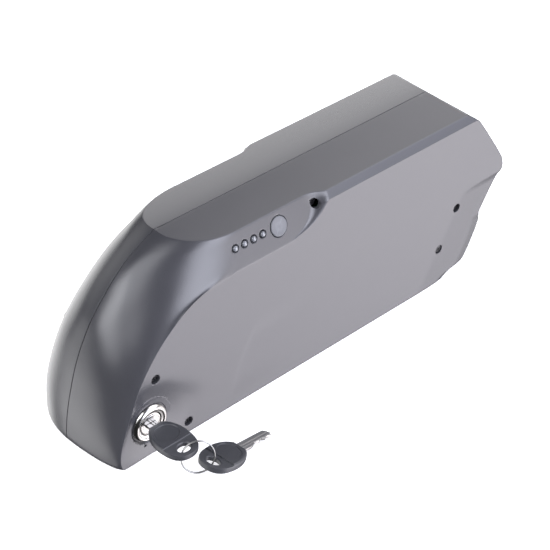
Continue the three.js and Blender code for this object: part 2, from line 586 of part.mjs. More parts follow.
// the second key hangs on the ring's lower right and its tip rests on the ground
const holeTwo = onRing(THREE.MathUtils.degToRad(-30));
const KEY2_YAW = THREE.MathUtils.degToRad(6.5);
const KEY2_TIP_Z = 1.35;
const reach = HEAD.length + GAP + BLADE.length - HEAD.holeBack;
const KEY2_PITCH = Math.asin((holeTwo.z - KEY2_TIP_Z) / reach);
function placeKeyTwo(g) {
  g.translate(-HEAD.holeBack, 0, 0);
  g.rotateY(KEY2_PITCH);
  g.rotateZ(KEY2_YAW);
  return g.translate(holeTwo.x, holeTwo.y, holeTwo.z);
}
add('key_2_head', placeKeyTwo(keyHead()), 'grip');
add('key_2_blade', placeKeyTwo(keyBlade()), 'nickel');

export default pack;
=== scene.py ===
import math
import bpy
import bmesh
from mathutils import Matrix, Vector


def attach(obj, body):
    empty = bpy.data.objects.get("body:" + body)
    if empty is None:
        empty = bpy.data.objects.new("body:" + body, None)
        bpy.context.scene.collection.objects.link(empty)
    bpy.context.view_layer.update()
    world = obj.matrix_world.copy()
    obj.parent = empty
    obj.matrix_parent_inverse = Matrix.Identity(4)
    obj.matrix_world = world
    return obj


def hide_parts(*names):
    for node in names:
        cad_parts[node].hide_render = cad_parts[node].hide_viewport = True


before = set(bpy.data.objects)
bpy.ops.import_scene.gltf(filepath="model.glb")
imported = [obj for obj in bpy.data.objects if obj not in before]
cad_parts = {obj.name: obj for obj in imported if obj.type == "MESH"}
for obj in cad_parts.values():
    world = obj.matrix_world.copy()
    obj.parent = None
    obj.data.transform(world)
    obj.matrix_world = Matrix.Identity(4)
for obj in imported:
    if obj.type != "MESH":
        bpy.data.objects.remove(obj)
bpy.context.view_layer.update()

# Lockable battery pack for a bicycle tube. The CAD frame is in metres, the shape tables here
# are in millimetres, and MM turns one into the other. +X runs from the nose to the connector
# end, -Y is the side with the lock, lights and button, and z = 0 is the flat base.
MM = 0.001

# ---------- driving dimensions, in mm ----------
WALL = 2.6
HALF_GAP = 0.15  # half of the gap between the two shells
HALF_BASE = 45.0
DRAFT = 0.056
TOP_EDGE_Z = 125.4
TOP_RIDGE_Z = 129.6
REAR_HALF_TOP = 34.4
STRIP_TILT = math.tan(math.radians(22.2))
STRIP_ANGLE = math.atan(1 / STRIP_TILT)
STRIP_LOW_Z = 103.6
STRIP_TOP_Y, STRIP_TOP_Z = -30.1, 125.8  # from here the lights and button are measured down the strip
REAR_BEVEL = 0.78
REAR_BEVEL_Z = 120.46  # where the rear bevel meets the side face
NOSE_POWER = 1.92
NOSE_POWER_FAR = 2.0
NOSE_CREASE_ANGLE = 17.0  # how sharply the nose meets the side face, in degrees

# tables of (z, x): centre line of the nose, and where it meets the near side face
NOSE_TIP = [(0, -179.6), (2, -180.8), (8, -180.7), (21, -179.9), (37.5, -177.2), (60, -171.9),
            (80, -163.1), (90, -156.9), (100, -149.1), (109, -141.4), (117.4, -132.2),
            (124, -121.4), (127.3, -115.4), (129.4, -110.8), (132, -104.6)]
NOSE_CREASE = [(0, -170.6), (2, -173.2), (8, -174.6), (18, -173.1), (35, -166.4), (54.7, -158.2),
               (70.7, -147.2), (81.8, -136.6), (95, -119.5), (101, -104.4), (103.6, -88),
               (110, -80.5), (118, -74.5), (125.4, -69.5), (132, -64)]
# the far side of the nose is rounder, and meets its side face farther back
NOSE_CREASE_FAR = [(0, -145), (20, -151), (40, -146), (60, -136), (80, -119), (95, -103),
                   (110, -82), (125.4, -68), (132, -62)]
# rear end of the side faces
REAR_END = [(0, 122.6), (4.5, 131.5), (5.2, 142), (7.4, 147.9), (33, 161.6), (38.3, 159.4),
            (41.8, 159.4), (66.1, 176.6), (68.2, 180.6), (74.3, 180.5), (80.6, 178),
            (116.7, 152.2), (121, 147.6), (125.4, 140.5), (130, 136), (132, 134)]
# where the indicator strip stops being flat, and where it has run out into the side face
STRIP_FLAT_END = [(0, -60), (60, -50), (103.6, -33), (106.3, -22), (110.7, -15), (115, -12),
                  (119, -11), (125.4, -15), (132, -16.5)]
STRIP_END = [(0, 0), (60, -10), (103.6, -31.5), (106.3, -16.6), (110.7, -5.6), (117.6, 0.9),
             (120.6, 3.6), (125.4, 4.8), (132, 4.8)]

# tapered facet of the side face at the connector end, behind a line from foot to top
FACET_FOOT_X, FACET_TOP_X, FACET_TOP_Z = 97.3, 139.6, 66.9
FACET_GONE_Z, FACET_FULL_Z, FACET_SLOPE = 66.6, 65.4, 0.024
LOWER_BEVEL_WIDE, LOWER_BEVEL_TOP_Z, LOWER_BEVEL_SLOPE = 8.5, 38, 0.09
# where the side face steps up very slightly behind the nose: (z, x)
FLOW_LINE = [(12, -80.2), (31.5, -74.1), (42.7, -68), (54.5, -60.3)]
FLOW_STEP = 0.12

LOCK_X, LOCK_Z = -149.6, 24.9
DISH_RADIUS, DISH_DEPTH = 31.0, 1.7  # shallow dish in the side face round the lock
# screws, as (x, z, distance of the head's seat from the parting plane)
SHELL_SCREWS = [(-144.6, 56.5, 37.5), (132.6, 56.3, 37.5), (-5.2, 119.2, 28.5)]
FRAME_SCREWS = [(-118.4, 9.1, 40.6), (116.7, 29.1, 40.6)]
LIGHT_X = [-73.9, -66.15, -58.4, -50.65]
LIGHT_DOWN = 9.9  # how far down the strip the lights sit
BUTTON_X, BUTTON_DOWN, BUTTON_R = -37.1, 10.2, 6.7
CHARGE_X, CHARGE_Z, CHARGE_R = -139.5, 38.0, 8.0
SOCKET_LOW, SOCKET_HIGH = (139, -18, 13), (151, 18, 33)
CONTACT_Y = [-12, -4, 4, 12]
SLOT_X = (-70, 70)  # middles of the hook slots in the base
CELL_R, CELL_HALF = 9.15, 32.5
CELL_X, CELL_Z, PITCH_X, PITCH_Z = -111.9, 17.9, 19.2, 18.9
CELL_GROUPS, GROUP_CELLS = 13, 5

# ---------- how finely the shells are meshed ----------
NOSE_STEPS, FLAT_STEPS, RUN_STEPS, REAR_STEPS = 44, 60, 14, 96
STRIP_STEPS, SEAM_STEP = 20, 16  # rows up the strip, and the one where the rear bevel starts
RELAX_ROUNDS, RELAX_BEYOND = 60, 12
EDGE_ROUND = 0.75  # radius of the rounded edges of the shells, in mm
BEVEL_ROOM = 0.42  # share of the narrowest face beside an edge that its rounding may take

# ---------- camera and room light ----------
CAMERA_AZIMUTH, CAMERA_ELEVATION, CAMERA_ROLL = -46.73, 37.5, 3.86  # in degrees
CAMERA_LENS, CAMERA_SENSOR = 120.24, 36  # in mm
CAMERA_TARGET, CAMERA_DISTANCE = (-0.00135, 0, 0.0402), 1.226  # in metres
ROOM_LIGHT = 0.02  # strength of the light that comes from everywhere


# ---------- small helpers ----------
def lerp_table(points, v):
    """The value at v of a table of (v, value), which is level beyond both its ends."""
    if v <= points[0][0]:
        return points[0][1]
    for (a, fa), (b, fb) in zip(points, points[1:]):
        if v <= b:
            return fa + (fb - fa) * (v - a) / (b - a)
    return points[-1][1]


def smooth_table(points, rounds=3):
    """A table with its corners rounded off by cutting them again and again."""
    pts = [Vector(p) for p in points]
    for _ in range(rounds):
        out = [pts[0]]
        for a, b in zip(pts, pts[1:]):
            out.append(a.lerp(b, 0.25))
            out.append(a.lerp(b, 0.75))
        out.append(pts[-1])
        pts = out
    return [(p.x, p.y) for p in pts]


def smoothstep(a, b, v):
    t = min(1.0, max(0.0, (v - a) / (b - a)))
    return t * t * (3 - 2 * t)


def new_object(name, mesh):
    obj = bpy.data.objects.new(name, mesh)
    bpy.context.scene.collection.objects.link(obj)
    return obj


def mesh_from(name, points, faces, edges=()):
    """A mesh from points in mm, welded, with its faces pointing out.

    edges lists (point, point, weight) for edges that are to be rounded; a weight comes down
    where the faces beside the edge are too narrow for the full rounding."""
    bm = bmesh.new()
    verts = [bm.verts.new(Vector(p) * MM) for p in points]
    for face in faces:
        corners = []
        for i in face:
            if verts[i] not in corners:
                corners.append(verts[i])
        if len(corners) > 2:
            bm.faces.new(corners)
    bmesh.ops.remove_doubles(bm, verts=bm.verts, dist=1e-7)
    bmesh.ops.recalc_face_normals(bm, faces=bm.faces)
    if edges:
        mark_edges(bm, points, edges)
    mesh = bpy.data.meshes.new(name)
    bm.to_mesh(mesh)
    bm.free()
    return mesh


def mark_edges(bm, points, edges):
    """Writes each listed edge's share of the full rounding on the welded mesh."""
    def key(p):
        return tuple(round(v, 3) for v in p)
    wanted = {frozenset((key(points[a]), key(points[b]))): w for a, b, w in edges}
    layer = bm.edges.layers.float.new("bevel_weight_edge")
    marked = {}
    for edge in bm.edges:
        ends = frozenset(key(v.co / MM) for v in edge.verts)
        if ends in wanted:
            marked[edge] = wanted[ends]
    for edge, weight in marked.items():
        beside = [e.calc_length() for v in edge.verts for e in v.link_edges if e not in marked]
        room = BEVEL_ROOM * min(beside) / (EDGE_ROUND * MM) if beside else weight
        edge[layer] = min(weight, room)


def baked(obj):
    """Applies every modifier of a piece to its mesh."""
    depsgraph = bpy.context.evaluated_depsgraph_get()
    mesh = bpy.data.meshes.new_from_object(obj.evaluated_get(depsgraph))
    obj.modifiers.clear()
    old = obj.data
    obj.data = mesh
    bpy.data.meshes.remove(old)
    return obj


def bevelled(obj, width, segments=2, angle=30):
    """Rounds the edges of a piece that are sharper than an angle, by a width in mm."""
    bevel = obj.modifiers.new("edges", "BEVEL")
    bevel.width = width * MM
    bevel.segments = segments
    bevel.limit_method = "ANGLE"
    bevel.angle_limit = math.radians(angle)
    return baked(obj)


def boolean(obj, others, operation):
    """Joins or cuts a piece with each of several others, which are then deleted."""
    for other in others:
        step = obj.modifiers.new(operation, "BOOLEAN")
        step.operation = operation
        step.solver = "MANIFOLD"
        step.object = other
        baked(obj)
        bpy.data.objects.remove(other)
    return obj


def smooth(obj, angle):
    """Smooth shading that keeps the edges sharper than an angle."""
    mesh = obj.data
    mesh.shade_smooth()
    mesh.set_sharp_from_angle(angle=math.radians(angle))
    weights = obj.modifiers.new("normals", "WEIGHTED_NORMAL")
    weights.keep_sharp = True


def box(name, low, high):
    xs, ys, zs = zip(low, high)
    points = [(x, y, z) for x in xs for y in ys for z in zs]
    faces = [(0, 1, 3, 2), (4, 6, 7, 5), (0, 4, 5, 1), (2, 3, 7, 6), (0, 2, 6, 4), (1, 5, 7, 3)]
    return new_object(name, mesh_from(name, points, faces))


def turned(name, profile, matrix, sides=48):
    """A closed solid of (radius, height) turned about local Z, put in place by a matrix in mm.

    A profile that ends where it begins makes a ring, which needs no end faces."""
    points = []
    for r, h in profile:
        for i in range(sides):
            a = 2 * math.pi * i / sides
            points.append(matrix @ Vector((r * math.cos(a), r * math.sin(a), h)))
    faces = []
    rows = len(profile)
    for k in range(rows - 1):
        for i in range(sides):
            j = (i + 1) % sides
            faces.append((k * sides + i, k * sides + j, (k + 1) * sides + j, (k + 1) * sides + i))
    if profile[0] != profile[-1]:
        faces += [tuple(range(sides)), tuple((rows - 1) * sides + i for i in range(sides))]
    return new_object(name, mesh_from(name, points, faces))


def mm_matrix(matrix):
    """A matrix in mm, for a mesh that is already in metres."""
    scaled = matrix.copy()
    scaled.translation = matrix.translation * MM
    return scaled


def along_y(x, z):
    """Local Z points out of the near side, along -Y, from the parting plane."""
    return Matrix.Translation((x, 0, z)) @ Matrix.Rotation(math.radians(90), 4, "X")


def along_far_y(x, z):
    """Local Z points out of the far side, along +Y, from the parting plane."""
    return Matrix.Translation((x, 0, z)) @ Matrix.Rotation(math.radians(-90), 4, "X")


def on_strip(x, down):
    """Local Z points out of the indicator strip, a distance down from its top edge."""
    y = STRIP_TOP_Y - down * math.cos(STRIP_ANGLE)
    z = STRIP_TOP_Z - down * math.sin(STRIP_ANGLE)
    return Matrix.Translation((x, y, z)) @ Matrix.Rotation(STRIP_ANGLE, 4, "X")


# ---------- body shape ----------
TIP = smooth_table(NOSE_TIP)
CREASE = {-1: smooth_table(NOSE_CREASE), 1: smooth_table(NOSE_CREASE_FAR)}
REAR = smooth_table(REAR_END, rounds=1)
RUN_START = smooth_table(STRIP_FLAT_END, rounds=2)
RUN_END = smooth_table(STRIP_END, rounds=2)


def side_half(z):
    return HALF_BASE - DRAFT * z


def strip_half(z):
    return min(side_half(z), side_half(STRIP_LOW_Z) - STRIP_TILT * (z - STRIP_LOW_Z))


def rear_half(z):
    return min(side_half(z), REAR_HALF_TOP + REAR_BEVEL * (TOP_EDGE_Z - z))


def crown(y):
    return TOP_RIDGE_Z - (TOP_RIDGE_Z - TOP_EDGE_Z) * (abs(y) / REAR_HALF_TOP) ** 1.4


def nose_point(t, z, inset, side):
    """Half outline of the nose at height z, from its tip at t = 0 to the side face at t = 1."""
    tip = lerp_table(TIP, z) + inset
    corner = lerp_table(CREASE[side], z) + inset * 0.5
    width = strip_half(z) - inset
    power, turn = NOSE_POWER_FAR, 0.0
    if side < 0:
        power = NOSE_POWER
        turn = math.tan(math.radians(NOSE_CREASE_ANGLE)) * (1 - smoothstep(88, STRIP_LOW_Z, z))
    q = min(0.3, (corner - tip) * turn / width)
    last = math.acos(q / (1 - q))
    reach = math.sin(last) ** (2 / power)
    back = max(0.0, math.cos(last)) ** (2 / power)
    a = t * last
    across = math.sin(a) ** (2 / power) / reach
    along = (max(0.0, math.cos(a)) ** (2 / power) - back) / (1 - back)
    return corner - (corner - tip) * along, width * across


def side_relief(x, z, side):
    """How far the outside of the side face is sunk at a point."""
    depth = 0.0
    if side < 0:
        r = math.hypot(x - LOCK_X - 2, z - LOCK_Z)
        depth = DISH_DEPTH * (1 - smoothstep(0.25, 1.0, r / DISH_RADIUS))
    if z < FACET_GONE_Z:
        line = FACET_FOOT_X + (FACET_TOP_X - FACET_FOOT_X) * z / FACET_TOP_Z
        depth += max(0.0, x - line) * FACET_SLOPE * smoothstep(FACET_GONE_Z, FACET_FULL_Z, z)
    if z < LOWER_BEVEL_TOP_Z:
        edge = lerp_table(REAR, z) - LOWER_BEVEL_WIDE
        depth += max(0.0, x - edge) * LOWER_BEVEL_SLOPE
    # the slight step fades out towards the base, towards the top and behind its line
    flow = lerp_table(FLOW_LINE, z)
    rise = FLOW_STEP * smoothstep(flow - 1.5, flow + 1.5, x)
    rise = rise * smoothstep(6, 20, z) * (1 - smoothstep(46, 60, z))
    depth -= rise * (1 - smoothstep(flow + 2, flow + 60, x))
    return depth


def body_point(column, z, inset, steps, side):
    """A point of the half outline at height z, by column number."""
    nose, flat, run, rear = steps
    if column <= nose:
        return nose_point(column / nose, z, inset, side)
    start, end = lerp_table(RUN_START, z), lerp_table(RUN_END, z)
    front, width = lerp_table(CREASE[side], z) + inset * 0.5, strip_half(z) - inset
    rear_width = rear_half(z) - inset
    if column <= nose + flat:
        s = (column - nose) / flat
        x, y = front + (start - front) * s, width
    elif column <= nose + flat + run:
        s = (column - nose - flat) / run
        x = start + (end - start) * s
        y = width + (rear_width - width) * smoothstep(0, 1, s ** 1.6)
    else:
        s = (column - nose - flat - run) / rear
        x, y = end + (lerp_table(REAR, z) - inset - end) * s, rear_width
    return x, y


def row_heights(base, most):
    """Heights from the base to the strip, with one at each corner of the rear end."""
    corners = [base] + [z for z, _ in REAR_END if base + 0.5 < z < STRIP_LOW_Z - 1] + [STRIP_LOW_Z]
    heights = [base]
    for a, b in zip(corners, corners[1:]):
        steps = math.ceil((b - a) / most)
        heights += [a + (b - a) * k / steps for k in range(1, steps + 1)]
    return heights


def relax(wall, nose):
    """Evens out the upper nose, so that it blends into the indicator strip without a dent.

    wall[column][row] are points; the tip, the crease and the top edge keep their places."""
    rows = len(wall[0])
    for _ in range(RELAX_ROUNDS):
        before = [[p.copy() for p in column] for column in wall]
        for c in range(1, nose + RELAX_BEYOND):
            for r in range(1, rows - 1):
                z = before[c][r].z
                pull = smoothstep(62, 92, z) * (1 - smoothstep(117, 124, z))
                pull *= smoothstep(0.1, 0.5, c / nose)
                if c >= nose:
                    pull *= smoothstep(102.5, 106, z) * (1 - (c - nose) / RELAX_BEYOND)
                if pull > 0:
                    beside = before[c - 1][r] + before[c + 1][r]
                    mean = (beside + before[c][r - 1] + before[c][r + 1]) / 4
                    wall[c][r] = before[c][r].lerp(mean, 0.9 * pull)


def strip_shares(fine):
    """How far up the strip each row of points lies, from above 0 at its foot to 1 at the top."""
    if not fine:
        return [0.25, 0.5, 0.75, 1.0]
    shares = [k / STRIP_STEPS for k in range(1, STRIP_STEPS + 1)]
    seam = (REAR_BEVEL_Z - STRIP_LOW_Z) / (TOP_EDGE_Z - STRIP_LOW_Z)
    shares[SEAM_STEP - 1] = seam
    shares[SEAM_STEP - 2] = seam - 0.045
    return shares


def rounded_edges(index, points, steps, low_rows, rows, across):
    """The outer edges of a half shell that are rounded, with each one's share of the full rounding."""
    nose, flat, run, _ = steps
    run_end, last = nose + flat + run, sum(steps)
    edges = []

    def mark(keys, weight):
        for a, b in zip(keys, keys[1:]):
            edges.append((index[a], index[b], weight))

    for r in range(rows - 1):
        z = points[index[("wall", nose, r)]][2]
        mark([("wall", nose, r), ("wall", nose, r + 1)], 1.0 - smoothstep(84, 100, z))
    mark([("wall", c, low_rows) for c in range(nose, run_end + 1)], 0.8)
    mark([("wall", run_end, r) for r in range(low_rows, rows)], 0.6)
    mark([("wall", c, low_rows + SEAM_STEP) for c in range(run_end, last + 1)], 0.6)
    mark([("wall", c, rows - 1) for c in range(last + 1)], 0.8)
    mark([("wall", c, 0) for c in range(last + 1)], 1.0)
    mark([("wall", last, r) for r in range(rows)], 1.0)
    mark([("rear", rows - 1, k) for k in range(across + 1)], 1.0)
    mark([("rear", 0, k) for k in range(across + 1)], 1.0)
    return edges


def half_body(name, side, inset=0.0, gap=HALF_GAP, fine=True):
    """Closed solid of one half of the pack, from the parting plane out, moved in by inset all round."""
    steps = (NOSE_STEPS, FLAT_STEPS, RUN_STEPS, REAR_STEPS) if fine else (14, 8, 5, 12)
    columns = sum(steps) + 1
    across = 10 if fine else 4
    high = strip_shares(fine)
    lows = row_heights(inset, 1.9 if fine else 9.0)
    low_rows = len(lows) - 1

    def outer(column, z):
        x, y = body_point(column, z, inset, steps, side)
        if inset == 0.0 and column > steps[0]:
            y -= side_relief(x, z, side)
        return x, max(y, gap)

    def top_of(column):
        """Height at which the wall meets the crowned top, found by halving."""
        low, highest = 110.0, 131.5
        for _ in range(26):
            mid = (low + highest) / 2
            if crown(outer(column, mid)[1]) - inset > mid:
                low = mid
            else:
                highest = mid
        return low

    points, index = [], {}

    def put(key, x, y, z):
        index[key] = len(points)
        points.append((x, side * y, z))

    rows = low_rows + 1 + len(high)
    tops = [top_of(c) for c in range(columns)]
    wall = []
    for c in range(columns):
        heights = lows + [STRIP_LOW_Z + (tops[c] - STRIP_LOW_Z) * v for v in high]
        wall.append([Vector((*outer(c, z), z)) for z in heights])
    if fine:
        relax(wall, steps[0])
    for c in range(columns):
        for r in range(rows):
            put(("wall", c, r), *wall[c][r])
    last_x = points[index[("wall", columns - 1, rows - 1)]][0]
    faces = []

    def quad(*keys):
        faces.append(tuple(index[k] for k in keys))

    for c in range(columns - 1):
        for r in range(rows - 1):
            quad(("wall", c, r), ("wall", c + 1, r), ("wall", c + 1, r + 1), ("wall", c, r + 1))
    # top and base: strips of faces from the outline in to the parting plane
    for c in range(columns):
        for r, cap in ((0, "base"), (rows - 1, "top")):
            x, y, z = points[index[("wall", c, r)]]
            index[(cap, c, 0)] = index[("wall", c, r)]
            for k in range(1, across + 1):
                yk = gap + (abs(y) - gap) * (1 - k / across) if abs(y) > gap else gap
                if cap == "base":
                    put((cap, c, k), x, yk, z)
                else:
                    zk = crown(yk) - inset
                    pull = smoothstep(90, last_x, x) if last_x > 90 else 0
                    xk = x + pull * (lerp_table(REAR, zk) - lerp_table(REAR, z))
                    put((cap, c, k), xk, yk, zk)
    for c in range(columns - 1):
        for k in range(across):
            quad(("base", c, k), ("base", c + 1, k), ("base", c + 1, k + 1), ("base", c, k + 1))
            quad(("top", c, k), ("top", c, k + 1), ("top", c + 1, k + 1), ("top", c + 1, k))
    # rear face
    c = columns - 1
    for r in range(rows):
        x, y, z = points[index[("wall", c, r)]]
        index[("rear", r, 0)] = index[("wall", c, r)]
        for k in range(1, across + 1):
            if r == 0:
                index[("rear", r, k)] = index[("base", c, k)]
            elif r == rows - 1:
                index[("rear", r, k)] = index[("top", c, k)]
            else:
                yk = gap + (abs(y) - gap) * (1 - k / across)
                share = max(0.0, (z - STRIP_LOW_Z) / (tops[c] - STRIP_LOW_Z))
                lift = (crown(yk) - inset - tops[c]) * share ** 2
                zk = z + lift
                put(("rear", r, k), lerp_table(REAR, zk) - inset, yk, zk)
    for r in range(rows - 1):
        for k in range(across):
            quad(("rear", r, k), ("rear", r, k + 1), ("rear", r + 1, k + 1), ("rear", r + 1, k))
    # parting plane
    loop = [index[("wall", 0, r)] for r in range(rows)]
    loop += [index[("top", c, across)] for c in range(1, columns)]
    loop += [index[("rear", r, across)] for r in range(rows - 2, 0, -1)]
    loop += [index[("base", c, across)] for c in range(columns - 1, 0, -1)]
    faces.append(tuple(loop))
    edges = []
    if fine:
        edges = rounded_edges(index, points, steps, low_rows, rows, across)
        edges += [(a, b, 0.35) for a, b in zip(loop, loop[1:] + loop[:1])]
    return new_object(name, mesh_from(name, points, faces, edges))


# ---------- the two shells ----------
def round_bar(name, r, low, high, matrix, chamfer, mouth, sides):
    """A cutter: a bar from low to high, which a chamfer opens out just below the mouth."""
    profile = [(r, low), (r, high)]
    if chamfer:
        profile = [(r, low), (r, mouth - chamfer), (r + chamfer, mouth), (r + chamfer + 2, mouth + 2),
                   (r + chamfer + 2, max(high, mouth + 3))]
    return turned(name, profile, matrix, sides)


def shared_cutters():
    """The discharge socket's hole, the plate's recess and the pockets behind its slots."""
    low, high = SOCKET_LOW, SOCKET_HIGH
    hole = box("socket_hole", (low[0] - 4, low[1] - 0.3, low[2] - 0.3), (180, high[1] + 0.3, high[2] + 0.3))
    hole = bevelled(hole, 1.5, 4)
    recess = box("plate_recess", (-112.3, -12.3, -5), (112.3, 12.3, 2.3))
    pockets = [box("pocket", (x - 15.6, -5.6, -4), (x + 15.6, 5.6, 5.9)) for x in SLOT_X]
    return [hole, recess] + pockets


def seal_channel():
    """A cutter of the same shape as the seal, for the groove that it lies in."""
    channel = bpy.data.objects["perimeter_seal"].data.copy()
    bm = bmesh.new()
    bm.from_mesh(channel)
    bmesh.ops.remove_doubles(bm, verts=bm.verts, dist=1e-6)
    bm.to_mesh(channel)
    bm.free()
    return new_object("seal_channel", channel)


def shell_body(name, side):
    """A hollow half shell, and the floor and screw pillars that are to be joined to it."""
    shell = half_body(name, side)
    step = shell.modifiers.new("edges", "BEVEL")
    step.limit_method = "WEIGHT"
    step.width = EDGE_ROUND * MM
    step.segments = 3
    step.use_clamp_overlap = False
    baked(shell)
    for vertex in shell.data.vertices:
        vertex.co.z = min(vertex.co.z, crown(vertex.co.y / MM) * MM)
    boolean(shell, [half_body("cavity", side, inset=WALL, gap=0.0, fine=False)], "DIFFERENCE")
    floor_y = sorted((side * HALF_GAP, side * 16))
    parts = [box("floor", (-116, floor_y[0], 2.0), (116, floor_y[1], 7.1))]
    for x, z, _ in SHELL_SCREWS:
        deep = 30.5 if z > 100 else side_half(z) - 1
        put = along_y(x, z) if side < 0 else along_far_y(x, z)
        parts.append(turned("pillar", [(3.9, 0.3), (3.9, deep)], put, 24))
    return shell, parts


def near_shell():
    shell, parts = shell_body("near_shell_fine", -1)
    parts.append(turned("lock_boss", [(17.5, 38), (17.5, 42.2)], along_y(LOCK_X, LOCK_Z)))
    for x, z, _ in FRAME_SCREWS:
        parts.append(turned("screw_boss", [(4.4, 38.7), (4.4, side_half(z) - 0.6)], along_y(x, z), 24))
    boolean(shell, parts, "UNION")
    cuts = shared_cutters()
    mouth = side_half(LOCK_Z) - DISH_DEPTH + 0.1
    cuts.append(round_bar("lock_recess", 13.8, 42.0, 60, along_y(LOCK_X, LOCK_Z), 0.3, mouth, 64))
    cuts.append(turned("lock_bore", [(11.4, 30), (11.4, 43)], along_y(LOCK_X, LOCK_Z)))
    for x, z, seat in SHELL_SCREWS + FRAME_SCREWS:
        rounding = 0.3 if z < 100 else 0.0
        start = -5 if seat < 40 else 30
        cuts.append(round_bar("screw_recess", 3.2, seat, 60, along_y(x, z), rounding, side_half(z), 32))
        cuts.append(turned("screw_bore", [(1.9, start), (1.9, seat + 0.5)], along_y(x, z), 20))
    cuts.append(turned("drain_hole", [(0.9, 41.5), (0.9, 60)], along_y(-153.4, 8.7), 16))
    for x in LIGHT_X:
        dimple = [(2.0, -6), (2.0, -1.3), (2.35, -0.85), (2.9, -0.12), (3.3, 0.2), (3.3, 3)]
        cuts.append(turned("dimple", dimple, on_strip(x, LIGHT_DOWN), 32))
    button = on_strip(BUTTON_X, BUTTON_DOWN)
    cuts.append(round_bar("button_hole", BUTTON_R + 0.3, -6, 5, button, 0.25, 0.0, 56))
    cuts.append(box("bolt_slot", (LOCK_X - 5.4, -12.9, -5), (LOCK_X + 5.4, -3.1, 5.6)))
    boolean(shell, cuts, "DIFFERENCE")
    boolean(shell, [seal_channel()], "DIFFERENCE")
    return shell


def far_shell():
    shell, parts = shell_body("far_shell_fine", 1)
    charge, face = along_far_y(CHARGE_X, CHARGE_Z), side_half(CHARGE_Z)
    parts.append(turned("charge_boss", [(12, 38), (12, face - 1)], charge))
    boolean(shell, parts, "UNION")
    cuts = shared_cutters()
    cuts.append(round_bar("charge_bore", CHARGE_R + 0.3, 30, 60, charge, 0.4, face, 48))
    for x, z, _ in SHELL_SCREWS:
        cuts.append(turned("screw_bore", [(1.7, -5), (1.7, 28)], along_far_y(x, z), 20))
    boolean(shell, cuts, "DIFFERENCE")
    boolean(shell, [seal_channel()], "DIFFERENCE")
    return shell


# ---------- camera ----------
def add_camera():
    """A long lens, at the angle and distance of a product picture taken from above the nose."""
    azimuth, elevation = math.radians(CAMERA_AZIMUTH), math.radians(CAMERA_ELEVATION)
    roll = math.radians(CAMERA_ROLL)
    back = Vector((math.sin(azimuth) * math.cos(elevation), -math.cos(azimuth) * math.cos(elevation),
                   math.sin(elevation)))
    level = Vector((math.cos(azimuth), math.sin(azimuth), 0))
    upright = back.cross(level)
    right = math.cos(roll) * level + math.sin(roll) * upright
    up = -math.sin(roll) * level + math.cos(roll) * upright
    data = bpy.data.cameras.new("camera")
    data.sensor_width = CAMERA_SENSOR
    data.lens = CAMERA_LENS
    data.clip_end = 50
    camera = bpy.data.objects.new("camera", data)
    turn = Matrix((right, up, back)).transposed().to_4x4()
    camera.matrix_world = Matrix.Translation(Vector(CAMERA_TARGET) + CAMERA_DISTANCE * back) @ turn
    bpy.context.scene.collection.objects.link(camera)
    bpy.context.scene.camera = camera


# ---------- floor and world ----------
# soft boxes of the studio, as directions: (towards, full within, gone beyond, strength, colour)
SOFT_BOXES = [
    ((0.48, -0.82, -0.31), 8, 30, 5.3, (1.0, 0.965, 1.02)),  # low in front, lights the side face
    ((0.46, -0.66, -0.59), 10, 36, 1.0, (1.0, 0.965, 1.02)),  # lower still
    ((0.89, -0.33, -0.31), 8, 34, 1.6, (1.0, 0.97, 1.0)),  # low beyond the connector end
    ((0.17, -0.93, 0.30), 6, 26, 9.0, (0.86, 0.88, 1.0)),  # in front, over the strip's front end
    ((0.5, -0.62, 0.6), 8, 34, 3.9, (0.86, 0.88, 1.02)),  # over the lock side, in the strip
    ((-0.62, -0.17, 0.77), 8, 27, 4.6, (0.95, 0.96, 1.0)),  # above the nose
    ((-0.87, 0.15, 0.47), 5, 23, 7.5, (0.95, 0.96, 1.0)),  # beyond the nose
    ((-0.66, 0.38, -0.64), 8, 30, 1.4, (1.0, 0.99, 1.0)),  # low beyond the nose
    ((-0.73, 0.61, -0.31), 8, 30, 2.2, (1.0, 1.0, 1.0)),  # low behind the nose
    ((0.08, 0.90, -0.42), 8, 32, 2.3, (1.0, 1.0, 1.0)),  # low behind, rims the far side
    ((-0.3, 0.85, 0.42), 8, 30, 1.3, (1.0, 1.0, 1.0)),  # behind, lights the far side face
    ((0.75, 0.63, 0.21), 8, 34, 2.8, (1.0, 0.99, 1.0)),  # behind the connector end
    ((0.74, 0.0, 0.67), 8, 34, 2.9, (1.0, 0.98, 1.0)),  # above the connector end
]


